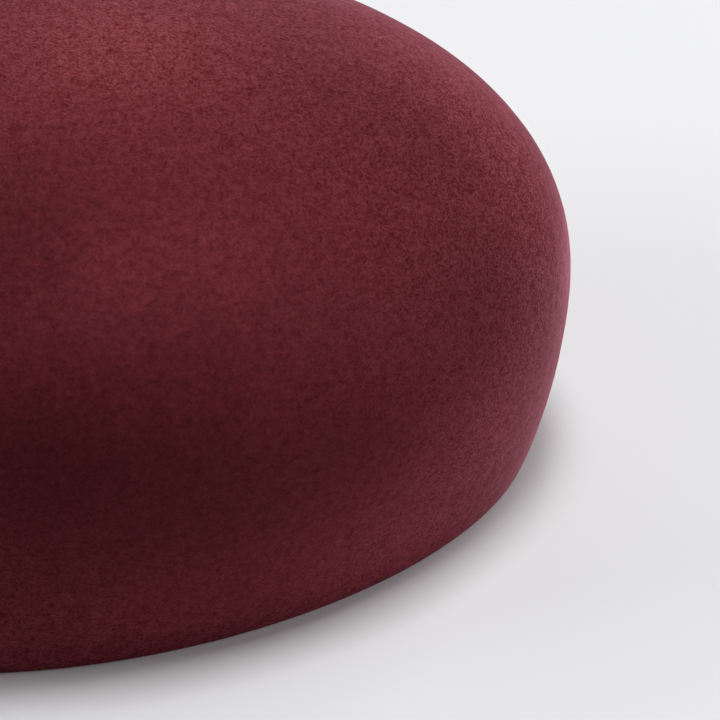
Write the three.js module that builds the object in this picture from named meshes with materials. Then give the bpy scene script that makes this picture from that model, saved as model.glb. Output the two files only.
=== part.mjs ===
import * as THREE from 'three';

// A soft rounded hat without a brim, blocked from one piece of felt, standing on its open mouth.
// Millimetres. +X is the front of the hat, +Y the wearer's left and +Z up, with the floor at z = 0.
// The origin is in the middle of the mouth, on the floor.

// Driving dimensions
const length = 220;
const width = 180;
const height = 101;
const fullestHeight = 39;
const mouthLength = 204.5;
const mouthWidth = 170;
const feltThickness = 2.2;
const edgeRounding = 0.5;

// Shape of the block that the felt was formed on.
// frontTaper is how much narrower than its middle the front is, as a share of the width.
// An exponent of 2 makes the crown's curve a quarter of an ellipse, and more makes it squarer:
// crownFlatness keeps the top flat for longer, and crownShoulder keeps the side upright for longer.
// sideCurl is how suddenly the side turns in towards the mouth.
const frontTaper = 0.12;
const crownFlatness = 2.4;
const crownShoulder = 2.15;
const sideCurl = 1.8;

// Soft dents left by handling. A dent's middle is given by along and across, shares of half the length and
// half the width, and by rise, a share of the height. Its reach and depth are shares of the height too.
// A depth below zero is a place where the felt swells out.
const dents = {
  nearSideMiddle: { along: 0.19, across: -0.63, rise: 0.87, reach: 0.13, depth: 0.011 },
  nearSideBack: { along: -0.1, across: -0.76, rise: 0.8, reach: 0.15, depth: 0.009 },
  nearSwelling: { along: 0.28, across: -0.86, rise: 0.62, reach: 0.12, depth: -0.007 },
  topFront: { along: 0.56, across: 0.06, rise: 0.93, reach: 0.16, depth: 0.012 },
  frontShoulder: { along: 0.8, across: -0.38, rise: 0.7, reach: 0.12, depth: 0.007 },
  topBack: { along: -0.4, across: 0.2, rise: 0.97, reach: 0.17, depth: 0.012 },
  farSideFront: { along: 0.38, across: 0.74, rise: 0.76, reach: 0.15, depth: 0.01 },
  farSideBack: { along: -0.42, across: 0.78, rise: 0.68, reach: 0.17, depth: 0.011 },
  backShoulder: { along: -0.82, across: -0.16, rise: 0.74, reach: 0.16, depth: 0.01 },
  backSwelling: { along: -0.93, across: 0.22, rise: 0.5, reach: 0.13, depth: -0.006 },
};
// Below this share of the height the dents fade away, so the cut edge stays true.
const dentFade = 0.3;

// Fineness of the mesh
const stepsAround = 72;
const crownSteps = 16;
const sideSteps = 7;
const cornerSteps = 2;
const slopeStep = 1e-4;

// The plan is an egg: an ellipse that narrows evenly from the back to the front.
function eggSide(angle) {
  return Math.sin(angle) * (1 - frontTaper * Math.cos(angle));
}

const widestCosine = -2 * frontTaper / (1 + Math.sqrt(1 + 8 * frontTaper ** 2));
const widestSide = eggSide(Math.acos(widestCosine));

// A point on the outside of the undented felt. The angle runs round the head from the front.
// climb is -1 at the cut edge, 0 where the hat is fullest and 1 at the top.
function blockPoint(angle, climb) {
  let fullLength;
  let fullWidth;
  let rise;
  if (climb < 0) {
    const tuck = (-climb) ** sideCurl;
    fullLength = length - (length - mouthLength) * tuck;
    fullWidth = width - (width - mouthWidth) * tuck;
    rise = fullestHeight * (1 + climb);
  } else {
    const turn = climb * Math.PI / 2;
    const shrink = Math.cos(turn) ** (2 / crownFlatness);
    fullLength = length * shrink;
    fullWidth = width * shrink;
    rise = fullestHeight + (height - fullestHeight) * Math.sin(turn) ** (2 / crownShoulder);
  }
  const x = fullLength / 2 * Math.cos(angle);
  const y = fullWidth / 2 * eggSide(angle) / widestSide;
  return new THREE.Vector3(x, y, rise);
}

function outwardNormal(angle, climb) {
  if (climb >= 1) {
    return new THREE.Vector3(0, 0, 1);
  }
  const around = blockPoint(angle + slopeStep, climb).sub(blockPoint(angle - slopeStep, climb));
  const upward = blockPoint(angle, climb + slopeStep).sub(blockPoint(angle, climb - slopeStep));
  return around.cross(upward).normalize();
}

// How deep the dents are at a point, in millimetres.
function dentDepth(point) {
  let depth = 0;
  for (const dent of Object.values(dents)) {
    const middle = new THREE.Vector3(
      dent.along * length / 2,
      dent.across * width / 2,
      dent.rise * height,
    );
    const reach = dent.reach * height;
    depth += dent.depth * height * Math.exp(-point.distanceToSquared(middle) / (2 * reach ** 2));
  }
  return depth * THREE.MathUtils.smoothstep(point.z / height, 0, dentFade);
}

function outerPoint(angle, climb) {
  const point = blockPoint(angle, climb);
  return point.addScaledVector(outwardNormal(angle, climb), -dentDepth(point));
}

// The way through the felt, from the outside to the inside. Under the fullest ring it is level, so the
// cut edge lies flat on the floor, and it is longer there so that the felt keeps its thickness.
function throughFelt(angle, climb) {
  const inward = outwardNormal(angle, climb).negate();
  if (climb > 0) {
    return inward.multiplyScalar(feltThickness);
  }
  inward.z = 0;
  return inward.multiplyScalar(feltThickness / inward.lengthSq());
}

function innerPoint(angle, climb) {
  return outerPoint(angle, climb).add(throughFelt(angle, climb));
}

// A point on a rounded corner of the cut edge. turn runs from 0 on the wall to 1 on the floor,
// and side is 1 at the outer corner and -1 at the inner one.
function cornerPoint(angle, turn, side) {
  const quarter = turn * Math.PI / 2;
  const climb = edgeRounding * (1 - Math.sin(quarter)) / fullestHeight - 1;
  const wall = side > 0 ? outerPoint(angle, climb) : innerPoint(angle, climb);
  const across = throughFelt(angle, climb).normalize();
  return wall.addScaledVector(across, side * edgeRounding * (1 - Math.cos(quarter)));
}

// The rings of the shell, from the top down the outside, under the edge and up the inside.
function feltRings() {
  const cornerClimb = edgeRounding / fullestHeight - 1;
  const climbs = [];
  for (let i = 1; i <= crownSteps; i += 1) {
    climbs.push(1 - i / crownSteps);
  }
  for (let i = 1; i < sideSteps; i += 1) {
    climbs.push(cornerClimb * i / sideSteps);
  }
  const rings = climbs.map((climb) => (angle) => outerPoint(angle, climb));
  for (let i = 0; i <= cornerSteps; i += 1) {
    rings.push((angle) => cornerPoint(angle, i / cornerSteps, 1));
  }
  for (let i = cornerSteps; i >= 0; i -= 1) {
    rings.push((angle) => cornerPoint(angle, i / cornerSteps, -1));
  }
  for (const climb of climbs.toReversed()) {
    rings.push((angle) => innerPoint(angle, climb));
  }
  return rings;
}

// A closed mesh of the rings, with a point of the shell at each end.
function shellGeometry(rings, firstPoint, lastPoint) {
  const positions = [firstPoint];
  for (const ring of rings) {
    for (let i = 0; i < stepsAround; i += 1) {
      positions.push(ring(2 * Math.PI * i / stepsAround));
    }
  }
  positions.push(lastPoint);

  const corner = (row, i) => 1 + row * stepsAround + i % stepsAround;
  const lastRow = rings.length - 1;
  const last = positions.length - 1;
  const faces = [];
  for (let i = 0; i < stepsAround; i += 1) {
    faces.push(0, corner(0, i), corner(0, i + 1));
    faces.push(last, corner(lastRow, i + 1), corner(lastRow, i));
  }
  for (let row = 0; row < lastRow; row += 1) {
    for (let i = 0; i < stepsAround; i += 1) {
      faces.push(corner(row, i), corner(row + 1, i), corner(row + 1, i + 1));
      faces.push(corner(row, i), corner(row + 1, i + 1), corner(row, i + 1));
    }
  }
  const geometry = new THREE.BufferGeometry().setFromPoints(positions);
  geometry.setIndex(faces);
  geometry.computeVertexNormals();
  return geometry;
}

const felt = new THREE.MeshStandardMaterial({ color: 0x6a2a33, roughness: 0.95, metalness: 0 });

const crown = new THREE.Mesh(shellGeometry(feltRings(), outerPoint(0, 1), innerPoint(0, 1)), felt);
crown.name = 'crown';

const hat = new THREE.Group();
hat.add(crown);

export default hat;
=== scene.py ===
"""A soft rounded hat without a brim, of burgundy felt, standing on its mouth on a pale floor.

Metres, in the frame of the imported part: +X is the front of the hat, +Y the wearer's left and +Z up.
"""
import math

import bpy
import numpy as np
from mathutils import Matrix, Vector, noise


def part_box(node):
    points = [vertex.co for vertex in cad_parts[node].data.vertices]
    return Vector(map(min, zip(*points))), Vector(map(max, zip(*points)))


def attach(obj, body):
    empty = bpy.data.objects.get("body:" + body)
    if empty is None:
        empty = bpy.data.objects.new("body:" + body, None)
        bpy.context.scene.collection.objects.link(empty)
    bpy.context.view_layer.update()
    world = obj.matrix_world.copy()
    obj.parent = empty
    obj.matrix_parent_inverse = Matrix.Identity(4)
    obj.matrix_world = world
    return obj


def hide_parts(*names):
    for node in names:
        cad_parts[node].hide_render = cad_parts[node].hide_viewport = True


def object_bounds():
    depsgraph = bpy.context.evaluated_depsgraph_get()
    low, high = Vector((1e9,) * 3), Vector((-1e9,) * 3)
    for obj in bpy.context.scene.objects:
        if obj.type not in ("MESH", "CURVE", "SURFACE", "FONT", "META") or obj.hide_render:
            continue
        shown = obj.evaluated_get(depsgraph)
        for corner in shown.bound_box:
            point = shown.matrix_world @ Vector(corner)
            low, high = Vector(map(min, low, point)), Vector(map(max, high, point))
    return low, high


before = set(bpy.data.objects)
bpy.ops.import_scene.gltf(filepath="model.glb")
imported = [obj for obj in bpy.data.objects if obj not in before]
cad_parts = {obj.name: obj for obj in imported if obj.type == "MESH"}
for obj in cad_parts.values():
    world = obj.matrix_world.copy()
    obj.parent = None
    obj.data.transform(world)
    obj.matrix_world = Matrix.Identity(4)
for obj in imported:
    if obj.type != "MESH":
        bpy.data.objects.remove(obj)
cad_low, cad_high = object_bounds()

MM = 0.001

# The block that the felt was formed on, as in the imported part. The overall size comes from the frame.
FULLEST_HEIGHT = 39 * MM
FELT_THICKNESS = 2.2 * MM
PACKED_EDGE_ROUNDING = 0.5 * MM
FRONT_TAPER = 0.12
CROWN_FLATNESS = 2.4
CROWN_SHOULDER = 2.15
SIDE_CURL = 1.8

# A spot on the felt: along and across are shares of half the length and half the width, and rise and reach
# are shares of the height. The amount holds in the spot's middle and fades away over its reach.
SPOT_COLUMNS = ("along", "across", "rise", "reach", "amount")

# Soft dents. The amount is a dent's depth as a share of the height, below zero where the felt swells out.
DENTS = {
    "near side middle": (0.19, -0.63, 0.87, 0.13, 0.011),
    "near side back": (-0.1, -0.76, 0.8, 0.15, 0.009),
    "near swelling": (0.28, -0.86, 0.62, 0.12, -0.007),
    "top front": (0.56, 0.06, 0.93, 0.16, 0.012),
    "front shoulder": (0.8, -0.38, 0.7, 0.12, 0.007),
    "top back": (-0.4, 0.2, 0.97, 0.17, 0.012),
    "far side front": (0.38, 0.74, 0.76, 0.15, 0.01),
    "far side back": (-0.42, 0.78, 0.68, 0.17, 0.011),
    "back shoulder": (-0.82, -0.16, 0.74, 0.16, 0.01),
    "back swelling": (-0.93, 0.22, 0.5, 0.13, -0.006),
}
# Below this share of the height the dents fade away, so the cut edge stays true.
DENT_FADE = 0.3

# What only the fine surface has: a softer cut edge, and the slight unevenness of hand-blocked felt,
# which starts at the cut edge and is full at WAVE_FADE above it
OUTER_ROUNDING = 0.6 * MM
INNER_ROUNDING = 0.5 * MM
WAVES = (
    {"length": 34 * MM, "height": 0.28 * MM},
    {"length": 13 * MM, "height": 0.10 * MM},
    {"length": 5 * MM, "height": 0.03 * MM},
)
WAVE_FADE = 8 * OUTER_ROUNDING

# Painted shade and painted light: spots that make the felt's colour darker where the amount is below zero
# and lighter above it, standing in for how the light falls on the hat.
PAINTED_SHADE_AND_LIGHT = {
    "near side middle": (0.17, -0.96, 0.42, 0.17, -0.3),
    "near side front": (0.54, -0.79, 0.4, 0.12, -0.23),
    "near side back": (-0.05, -0.98, 0.52, 0.13, -0.34),
    "near side far back": (-0.36, -0.94, 0.47, 0.17, -0.34),
    "near side end": (-0.68, -0.76, 0.42, 0.15, -0.2),
    "near side low": (0.34, -0.9, 0.34, 0.12, -0.14),
    "near hem": (0.64, -0.63, 0.04, 0.17, 0.16),
    "near ridge": (0.31, -0.71, 0.78, 0.11, 0.18),
    "near ridge back": (0.09, -0.78, 0.8, 0.09, 0.15),
    "near shoulder": (-0.05, -0.68, 0.86, 0.12, -0.19),
    "front corner": (0.79, -0.5, 0.55, 0.12, -0.23),
    "front shoulder": (0.77, 0.11, 0.8, 0.17, 0.18),
    "top middle": (0.15, -0.11, 0.99, 0.17, 0.26),
    "front low": (0.83, -0.47, 0.3, 0.13, 0.2),
    "near middle": (0.27, -0.67, 0.59, 0.12, -0.2),
    "near hem back": (-0.06, -0.98, 0.2, 0.14, -0.11),
    "front ridge": (0.56, -0.19, 0.91, 0.13, -0.1),
    "front ridge end": (0.73, -0.27, 0.8, 0.12, -0.12),
    "top back": (-0.45, 0.3, 0.95, 0.16, -0.2),
    "far side front": (0.4, 0.85, 0.5, 0.2, -0.19),
    "far side middle": (-0.05, 0.98, 0.42, 0.2, -0.17),
    "far shoulder": (0.05, 0.7, 0.84, 0.14, 0.2),
    "far side back": (-0.5, 0.86, 0.36, 0.2, -0.19),
    "back middle": (-0.97, 0.05, 0.5, 0.18, -0.28),
    "back shoulder": (-0.8, -0.3, 0.8, 0.15, 0.24),
    "back hem": (-0.8, -0.5, 0.08, 0.17, 0.27),
}

# Where the felt's surface has changed. It is worn smoother where the amount is below zero.
GRAIN = {
    "near side": (0.15, -0.8, 0.7, 0.34, -1.35),
    "near side low": (0.5, -0.78, 0.22, 0.28, -0.55),
    "front": (0.98, -0.1, 0.6, 0.3, 0.45),
    "top": (0.1, -0.1, 1.0, 0.3, 0.05),
    "far side": (-0.1, 0.85, 0.45, 0.35, -0.5),
    "back": (-0.98, 0.1, 0.6, 0.3, 0.3),
}

# Fineness of the mesh. The inside has 1 ring for each INSIDE_SHARE rings of the outside.
STEPS_AROUND = 400
CROWN_STEPS = 84
SIDE_STEPS = 34
CORNER_STEPS = 5
INSIDE_SHARE = 3
# Steps of angle and climb over which a slope is measured
SLOPE_STEP = 1e-4
# At the top the way through the felt has no level part. This keeps it from a division by 0 there.
LEAST_LEVEL = 1e-6
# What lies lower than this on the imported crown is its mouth.
MOUTH_DEPTH = 0.01 * MM

# The camera looks a little down on the hat's right side, close enough that the picture's edges cut it off.
VIEW_AZIMUTH = -4.4
VIEW_ELEVATION = 32.302
CAMERA_DISTANCE = 954.2 * MM
AIM = Vector((66.29, 3.59, 13.71)) * MM
LENS_MM = 223.56
SENSOR_MM = 36.0
CLIP_START = 0.01
CLIP_END = 100.0

# The layers of the felt's texture are noise. size is how wide the lumps are, detail and roughness say how
# much finer noise is in them, and distortion pulls them about.
LAYERS = {
    "pits": {"size": 0.38 * MM, "detail": 2.0, "roughness": 0.6},
    "tufts": {"size": 0.95 * MM, "detail": 1.0},
    "flecks": {"size": 2.1 * MM, "detail": 1.0},
    "clouds": {"size": 9 * MM, "detail": 2.0, "roughness": 0.6},
    "tangles": {"size": 1.4 * MM, "detail": 2.0, "roughness": 0.6, "distortion": 0.8},
}
# Noise swings about its middle value. The tangles are thin strands, laid where their noise has that value
# and as wide as STRAND_WIDTH in the noise's values, so they swing about a value of their own.
NOISE_MIDDLE = 0.5
STRAND_WIDTH = 0.08
LAYER_MIDDLES = {
    "pits": NOISE_MIDDLE,
    "tufts": NOISE_MIDDLE,
    "flecks": NOISE_MIDDLE,
    "clouds": NOISE_MIDDLE,
    "tangles": 0.3,
}

# Pale fibres lie over deep wool. How far each layer of the texture swings the amount of each of the two:
# the fine and speckle layers follow the grain, and the mottle is stronger where the felt is worn smooth.
FIBRE_SWING = {
    "fine": {"pits": 2.8, "tangles": 0.5},
    "coarse": {"tufts": 0.5, "flecks": 0.3},
}
WOOL_SWING = {
    "speckle": {"pits": 0.25},
    "mottle": {"tufts": 0.3, "flecks": 0.12, "clouds": 0.08},
}
MOTTLE_POWER = -0.6
FIBRE_SHARE = 0.5
FIBRE_COLOUR = (0.08, 0.025, 0.0335)
# The fibres' clumps are longest across the hat, and longer along it than up it.
FIBRE_STRETCH = (1.45, 1.65, 1.15)

# The height of each layer's bumps, from the lowest layer up
BUMP_HEIGHTS = {"flecks": 0.15 * MM, "tangles": 0.02 * MM, "pits": 0.05 * MM}

SHEEN_ROUGHNESS = 0.3
SHEEN_TINT = (1.0, 0.4, 0.53)
FELT_ROUGHNESS = 0.95
FELT_SPECULAR = 0.1

# The felt's materials, in the order of the crown's slots. relief is a factor of the bumps' height.
FELTS = {
    "felt_outside": {"wool_colour": (0.078, 0.0028, 0.0041), "sheen": 0.52, "relief": 1.0},
    "felt_cut_edge": {"wool_colour": (0.062, 0.0022, 0.0032), "sheen": 0.32, "relief": 0.7},
    "felt_inside": {"wool_colour": (0.076, 0.0028, 0.0041), "sheen": 0.32, "relief": 1.2},
}
OUTSIDE_SLOT, CUT_EDGE_SLOT, INSIDE_SLOT = range(len(FELTS))

FLOOR_SIZE = 16.0
FLOOR_COLOUR = (0.762, 0.764, 0.782)
FLOOR_ROUGHNESS = 0.9
FLOOR_SPECULAR = 0.1
WORLD_COLOUR = (0.95, 0.96, 1.0)
WORLD_STRENGTH = 0.05

# Soft lights: the way to each from the hat as azimuth and elevation, its distance, its side and its power
LIGHTS = {
    "overhead": {"azimuth": 120, "elevation": 82, "distance": 1.7, "side": 0.55, "watts": 18.7},
    "far right": {"azimuth": 135, "elevation": 20, "distance": 2.2, "side": 1.2, "watts": 24.6},
    "behind": {"azimuth": 185, "elevation": 12, "distance": 2.2, "side": 1.2, "watts": 5.0},
    "left": {"azimuth": 270, "elevation": 20, "distance": 2.2, "side": 1.2, "watts": 21.4},
    "right": {"azimuth": 90, "elevation": 20, "distance": 2.2, "side": 1.2, "watts": 11.2},
    "near right": {"azimuth": 45, "elevation": 20, "distance": 2.2, "side": 1.2, "watts": 8.0},
}


def direction(azimuth, elevation):
    """The way from the hat towards a place.

    Azimuth 0 is the right side of the hat, -Y, and 90 is its front, +X.
    """
    turn = math.radians(azimuth)
    climb = math.radians(elevation)
    level = math.cos(climb)
    return Vector((math.sin(turn) * level, -math.cos(turn) * level, math.sin(climb)))


def add_camera():
    data = bpy.data.cameras.new("camera")
    data.lens = LENS_MM
    data.sensor_width = SENSOR_MM
    data.clip_start = CLIP_START
    data.clip_end = CLIP_END
    camera = bpy.data.objects.new("camera", data)
    back = direction(VIEW_AZIMUTH, VIEW_ELEVATION)
    camera.location = AIM + back * CAMERA_DISTANCE
    camera.rotation_mode = "QUATERNION"
    camera.rotation_quaternion = (-back).to_track_quat("-Z", "Y")
    bpy.context.scene.collection.objects.link(camera)
    bpy.context.scene.camera = camera


def add_floor():
    half = FLOOR_SIZE / 2
    corners = [(-half, -half, 0), (half, -half, 0), (half, half, 0), (-half, half, 0)]
    mesh = bpy.data.meshes.new("floor")
    mesh.from_pydata(corners, [], [(0, 1, 2, 3)])
    floor = bpy.data.objects.new("floor", mesh)
    bpy.context.scene.collection.objects.link(floor)
    material = bpy.data.materials.new("paper")
    material.use_nodes = True
    shader = material.node_tree.nodes["Principled BSDF"]
    shader.inputs["Base Color"].default_value = (*FLOOR_COLOUR, 1)
    shader.inputs["Roughness"].default_value = FLOOR_ROUGHNESS
    shader.inputs["Specular IOR Level"].default_value = FLOOR_SPECULAR
    mesh.materials.append(material)


def add_lights():
    middle = (cad_low + cad_high) / 2
    for name, light in LIGHTS.items():
        data = bpy.data.lights.new(name, "AREA")
        data.shape = "SQUARE"
        data.size = light["side"]
        data.energy = light["watts"]
        lamp = bpy.data.objects.new(name, data)
        way = direction(light["azimuth"], light["elevation"])
        lamp.location = middle + way * light["distance"]
        lamp.rotation_mode = "QUATERNION"
        lamp.rotation_quaternion = way.to_track_quat("Z", "Y")
        bpy.context.scene.collection.objects.link(lamp)
    world = bpy.data.worlds.new("studio")
    world.use_nodes = True
    background = world.node_tree.nodes["Background"]
    background.inputs["Color"].default_value = (*WORLD_COLOUR, 1)
    background.inputs["Strength"].default_value = WORLD_STRENGTH
    bpy.context.scene.world = world
    bpy.context.scene.view_settings.view_transform = "Standard"


def egg_side(angle):
    """The plan is an egg: an ellipse that narrows evenly from the back to the front."""
    return np.sin(angle) * (1 - FRONT_TAPER * np.cos(angle))


def crown_sizes():
    """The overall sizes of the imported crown, and its mouth's, measured on the frame."""
    low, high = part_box("crown")
    points = np.array([vertex.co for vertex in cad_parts["crown"].data.vertices])
    on_floor = points[points[:, 2] < low.z + MOUTH_DEPTH]
    mouth = on_floor.max(0) - on_floor.min(0) + 2 * PACKED_EDGE_ROUNDING
    return {
        "length": high.x - low.x,
        "width": high.y - low.y,
        "height": high.z,
        "mouth_length": mouth[0],
        "mouth_width": mouth[1],
    }


SIZE = crown_sizes()
WIDEST_COSINE = -2 * FRONT_TAPER / (1 + math.sqrt(1 + 8 * FRONT_TAPER ** 2))
WIDEST_SIDE = egg_side(math.acos(WIDEST_COSINE))


def block_points(angle, climb):
    """Points on the undented outside.

    climb is -1 at the cut edge, 0 where the hat is fullest and 1 at the top.
    """
    tuck = np.clip(-climb, 0, None) ** SIDE_CURL
    turn = np.clip(climb, 0, 1) * math.pi / 2
    shrink = np.clip(np.cos(turn), 0, None) ** (2 / CROWN_FLATNESS)
    dome = FULLEST_HEIGHT + (SIZE["height"] - FULLEST_HEIGHT) * np.sin(turn) ** (2 / CROWN_SHOULDER)
    rise = np.where(climb < 0, FULLEST_HEIGHT * (1 + climb), dome)
    full_length = (SIZE["length"] - (SIZE["length"] - SIZE["mouth_length"]) * tuck) * shrink
    full_width = (SIZE["width"] - (SIZE["width"] - SIZE["mouth_width"]) * tuck) * shrink
    x = full_length / 2 * np.cos(angle)
    y = full_width / 2 * egg_side(angle) / WIDEST_SIDE
    return np.stack([x, y, rise], -1)


def block_normals(angle, climb):
    around = block_points(angle + SLOPE_STEP, climb) - block_points(angle - SLOPE_STEP, climb)
    upward = block_points(angle, climb + SLOPE_STEP) - block_points(angle, climb - SLOPE_STEP)
    normal = np.cross(around, upward)
    size = np.linalg.norm(normal, axis=-1, keepdims=True)
    straight_up = np.array((0.0, 0.0, 1.0))
    at_top = (climb >= 1)[..., None]
    return np.where(at_top, straight_up, normal / np.where(at_top, 1, size))


def smooth_step(value, low, high):
    """0 at the low value and below, 1 at the high value and above, and smooth between."""
    share = np.clip((value - low) / (high - low), 0, 1)
    return share * share * (3 - 2 * share)


def spots_at(points, spots):
    """The amounts of all the spots together at each point."""
    total = np.zeros(points.shape[:-1])
    for row in spots.values():
        spot = dict(zip(SPOT_COLUMNS, row))
        middle = np.array((
            spot["along"] * SIZE["length"] / 2,
            spot["across"] * SIZE["width"] / 2,
            spot["rise"] * SIZE["height"],
        ))
        reach = spot["reach"] * SIZE["height"]
        away = ((points - middle) ** 2).sum(-1)
        total += spot["amount"] * np.exp(-away / (2 * reach ** 2))
    return total


def dent_depths(points):
    depth = SIZE["height"] * spots_at(points, DENTS)
    return depth * smooth_step(points[..., 2] / SIZE["height"], 0, DENT_FADE)


def unevenness(points):
    """Low waves over the outside, which fade out at the cut edge."""
    flat = points.reshape(-1, 3)
    rise = np.zeros(len(flat))
    for wave in WAVES:
        rise += wave["height"] * np.array([noise.noise(Vector(p / wave["length"])) for p in flat])
    return rise.reshape(points.shape[:-1]) * smooth_step(points[..., 2], 0, WAVE_FADE)


def outer_points(angle, climb):
    points = block_points(angle, climb)
    swell = unevenness(points) - dent_depths(points)
    return points + block_normals(angle, climb) * swell[..., None]


def through_felt(angle, climb):
    """The way through the felt from outside to inside. It is level under the fullest ring."""
    inward = -block_normals(angle, climb)
    level = inward * (1, 1, 0)
    level = level / np.clip((level ** 2).sum(-1, keepdims=True), LEAST_LEVEL, None)
    return np.where((climb > 0)[..., None], inward, level) * FELT_THICKNESS


def corner_points(angle, turn, side, rounding):
    """A rounded corner of the cut edge.

    turn is 0 on the wall and 1 on the floor, and side is 1 outside and -1 inside.
    """
    quarter = turn * math.pi / 2
    climb = rounding * (1 - np.sin(quarter)) / FULLEST_HEIGHT - 1
    wall = outer_points(angle, climb)
    across = through_felt(angle, climb)
    if side < 0:
        wall = wall + across
    across = across / np.linalg.norm(across, axis=-1, keepdims=True)
    return wall + across * (side * rounding * (1 - np.cos(quarter)))[..., None]


def shell_rings():
    """Rings of points from the top down the outside, under the edge and up the inside.

    They come in four parts: the outside, the two corners of the cut edge, and the inside.
    """
    around = np.arange(STEPS_AROUND) * 2 * math.pi / STEPS_AROUND

    def climbs(crown_steps, side_steps, rounding):
        crown = 1 - (np.arange(1, crown_steps + 1) / crown_steps)
        side = (rounding / FULLEST_HEIGHT - 1) * np.arange(1, side_steps) / side_steps
        return np.concatenate([crown, side])

    def grid(values):
        return np.meshgrid(around, values)

    angle, climb = grid(climbs(CROWN_STEPS, SIDE_STEPS, OUTER_ROUNDING))
    outside = outer_points(angle, climb)
    turns = np.arange(CORNER_STEPS + 1) / CORNER_STEPS
    angle, turn = grid(turns)
    outer_corner = corner_points(angle, turn, 1, OUTER_ROUNDING)
    angle, turn = grid(turns[::-1])
    inner_corner = corner_points(angle, turn, -1, INNER_ROUNDING)
    inner_climbs = climbs(CROWN_STEPS // INSIDE_SHARE, SIDE_STEPS // INSIDE_SHARE, INNER_ROUNDING)
    angle, climb = grid(inner_climbs[::-1])
    inside = outer_points(angle, climb) + through_felt(angle, climb)
    return outside, outer_corner, inner_corner, inside


def top_point(depth):
    top = outer_points(np.array([0.0]), np.array([1.0]))[0]
    return top - np.array((0, 0, depth))


def shell_faces(ring_count):
    """Faces that close the rings, from the top of the outside to the top of the inside.

    The first point is the top of the outside and the last one the top of the inside.
    """
    last_row = ring_count - 1
    last_point = 1 + ring_count * STEPS_AROUND

    def corner(row, step):
        return 1 + row * STEPS_AROUND + step % STEPS_AROUND

    steps = np.arange(STEPS_AROUND)
    row, step = np.meshgrid(np.arange(last_row), steps, indexing="ij")
    cap = np.stack([np.zeros_like(steps), corner(0, steps), corner(0, steps + 1)], -1)
    wall = np.stack([
        corner(row, step),
        corner(row + 1, step),
        corner(row + 1, step + 1),
        corner(row, step + 1),
    ], -1)
    ceiling = np.stack([
        np.full_like(steps, last_point),
        corner(last_row, steps + 1),
        corner(last_row, steps),
    ], -1)
    return cap.tolist() + wall.reshape(-1, wall.shape[-1]).tolist() + ceiling.tolist()


def face_slots(outside, outer_corner, inner_corner, inside):
    """The slot of each face, in the order of shell_faces, from how many rings each part has."""
    rows_of_faces = {
        OUTSIDE_SLOT: len(outside) + 1,
        CUT_EDGE_SLOT: len(outer_corner) + len(inner_corner) - 1,
        INSIDE_SLOT: len(inside) + 1,
    }
    slots = np.repeat(list(rows_of_faces), list(rows_of_faces.values()))
    return np.repeat(slots, STEPS_AROUND).astype(np.int32)


def add_crown(felts):
    parts = shell_rings()
    rings = np.concatenate(parts)
    points = np.concatenate([[top_point(0)], rings.reshape(-1, 3), [top_point(FELT_THICKNESS)]])
    faces = shell_faces(len(rings))
    mesh = bpy.data.meshes.new("felt_crown")
    mesh.from_pydata(points.tolist(), [], faces)
    for felt in felts:
        mesh.materials.append(felt)
    mesh.polygons.foreach_set("material_index", face_slots(*parts))
    mesh.polygons.foreach_set("use_smooth", np.ones(len(faces), bool))
    mesh.update()
    # Factors at each point: the first is the painted shade and light, the second the grain.
    for name, spots in (("painted_shade_and_light", PAINTED_SHADE_AND_LIGHT), ("grain", GRAIN)):
        factors = np.exp(spots_at(points, spots))
        mesh.attributes.new(name, "FLOAT", "POINT").data.foreach_set("value", factors)
    crown = bpy.data.objects.new("felt_crown", mesh)
    bpy.context.scene.collection.objects.link(crown)
    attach(crown, "root")
    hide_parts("crown")


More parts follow.
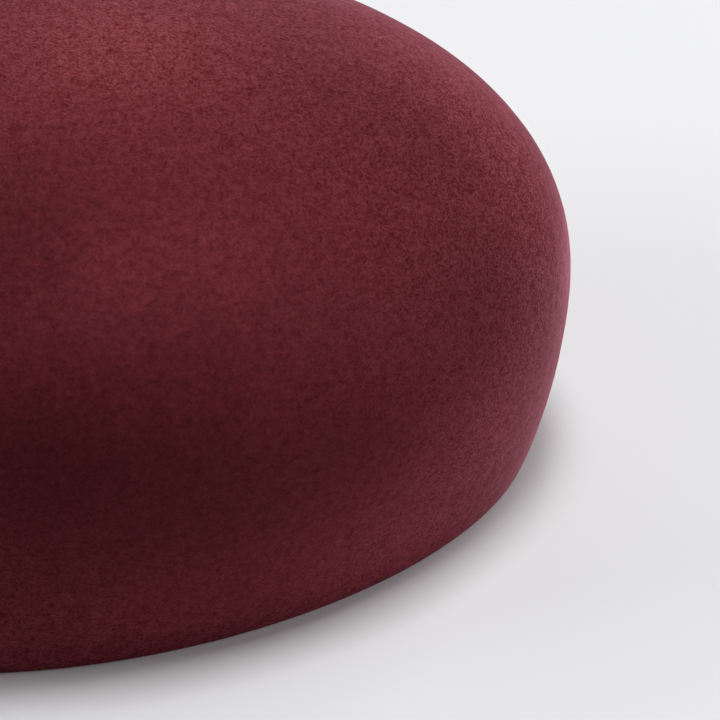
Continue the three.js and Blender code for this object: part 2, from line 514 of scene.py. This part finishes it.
class Nodes:
    """Adds shader nodes to one material and links them."""

    def __init__(self, name):
        self.material = bpy.data.materials.new(name)
        self.material.use_nodes = True
        self.tree = self.material.node_tree
        self.shader = self.tree.nodes["Principled BSDF"]
        coordinates = self.tree.nodes.new("ShaderNodeTexCoord")
        stretch = self.tree.nodes.new("ShaderNodeVectorMath")
        stretch.operation = "DIVIDE"
        stretch.inputs[1].default_value = FIBRE_STRETCH
        self.link(coordinates.outputs["Object"], stretch.inputs[0])
        self.place = stretch.outputs["Vector"]

    def link(self, source, target):
        self.tree.links.new(source, target)

    def noise(self, size, detail, roughness=0.5, distortion=0.0):
        """Noise whose lumps are about size metres wide."""
        node = self.tree.nodes.new("ShaderNodeTexNoise")
        node.inputs["Scale"].default_value = 1 / size
        node.inputs["Detail"].default_value = detail
        node.inputs["Roughness"].default_value = roughness
        node.inputs["Distortion"].default_value = distortion
        self.link(self.place, node.inputs["Vector"])
        return node.outputs["Fac"]

    def maths(self, kind, first, second=0):
        node = self.tree.nodes.new("ShaderNodeMath")
        node.operation = kind
        for socket, value in zip(node.inputs, (first, second)):
            if isinstance(value, (int, float)):
                socket.default_value = value
            else:
                self.link(value, socket)
        return node.outputs["Value"]

    def strands(self, value):
        """Thin light lines, 1 where the noise has its middle value and 0 away from there."""
        away = self.maths("ABSOLUTE", self.maths("SUBTRACT", value, NOISE_MIDDLE))
        node = self.tree.nodes.new("ShaderNodeMapRange")
        node.inputs["From Min"].default_value = 0.0
        node.inputs["From Max"].default_value = STRAND_WIDTH
        node.inputs["To Min"].default_value = 1.0
        node.inputs["To Max"].default_value = 0.0
        self.link(away, node.inputs["Value"])
        return node.outputs["Result"]

    def swing(self, layers, shares):
        """How far the layers are from their middles together, each times its share."""
        total = 0.0
        for name, share in shares.items():
            away = self.maths("SUBTRACT", layers[name], LAYER_MIDDLES[name])
            total = self.maths("ADD", total, self.maths("MULTIPLY", away, share))
        return total

    def attribute(self, name):
        node = self.tree.nodes.new("ShaderNodeAttribute")
        node.attribute_name = name
        return node.outputs["Fac"]

    def scale(self, colour, amount):
        node = self.tree.nodes.new("ShaderNodeVectorMath")
        node.operation = "SCALE"
        node.inputs[0].default_value = colour
        self.link(amount, node.inputs["Scale"])
        return node.outputs["Vector"]

    def add(self, first, second):
        node = self.tree.nodes.new("ShaderNodeVectorMath")
        self.link(first, node.inputs[0])
        self.link(second, node.inputs[1])
        return node.outputs["Vector"]

    def bump(self, value, height, under):
        """Bumps of a height in metres over the normal under them, if there is one."""
        node = self.tree.nodes.new("ShaderNodeBump")
        node.inputs["Strength"].default_value = 1.0
        node.inputs["Distance"].default_value = height
        self.link(value, node.inputs["Height"])
        if under is not None:
            self.link(under, node.inputs["Normal"])
        return node.outputs["Normal"]


def felt_material(name, wool_colour, sheen, relief):
    """Matted wool: deep wool under paler tangled fibres, with a brushed sheen, and painted shade and light
    in its colour.
    """
    felt = Nodes(name)
    layers = {layer: felt.noise(**values) for layer, values in LAYERS.items()}
    layers["tangles"] = felt.strands(layers["tangles"])
    # Painted shade and light from the spots: it darkens and lightens the wool once and the fibres twice
    # over.
    painted_shade_and_light = felt.attribute("painted_shade_and_light")
    grain = felt.attribute("grain")

    fine = felt.maths("MULTIPLY", felt.swing(layers, FIBRE_SWING["fine"]), grain)
    coarse = felt.swing(layers, FIBRE_SWING["coarse"])
    fibres = felt.maths("ADD", felt.maths("ADD", fine, coarse), FIBRE_SHARE)
    # The fibres take the painted shade and light twice.
    fibres = felt.maths("MULTIPLY", felt.maths("MAXIMUM", fibres, 0), felt.maths("MULTIPLY", painted_shade_and_light, painted_shade_and_light))

    speckle = felt.maths("MULTIPLY", felt.swing(layers, WOOL_SWING["speckle"]), grain)
    mottle = felt.swing(layers, WOOL_SWING["mottle"])
    mottle = felt.maths("MULTIPLY", mottle, felt.maths("POWER", grain, MOTTLE_POWER))
    wool = felt.maths("ADD", felt.maths("ADD", speckle, mottle), 1.0)
    # The wool takes the painted shade and light once.
    wool = felt.maths("MULTIPLY", wool, painted_shade_and_light)

    mixed = felt.add(felt.scale(wool_colour, wool), felt.scale(FIBRE_COLOUR, fibres))
    felt.link(mixed, felt.shader.inputs["Base Color"])
    normal = None
    for layer, height in BUMP_HEIGHTS.items():
        normal = felt.bump(layers[layer], height * relief, under=normal)
    felt.link(normal, felt.shader.inputs["Normal"])
    felt.shader.inputs["Roughness"].default_value = FELT_ROUGHNESS
    felt.shader.inputs["Specular IOR Level"].default_value = FELT_SPECULAR
    felt.shader.inputs["Sheen Weight"].default_value = sheen
    felt.shader.inputs["Sheen Roughness"].default_value = SHEEN_ROUGHNESS
    felt.shader.inputs["Sheen Tint"].default_value = (*SHEEN_TINT, 1)
    return felt.material


def main():
    add_camera()
    add_floor()
    add_lights()
    add_crown([felt_material(name, **values) for name, values in FELTS.items()])


main()
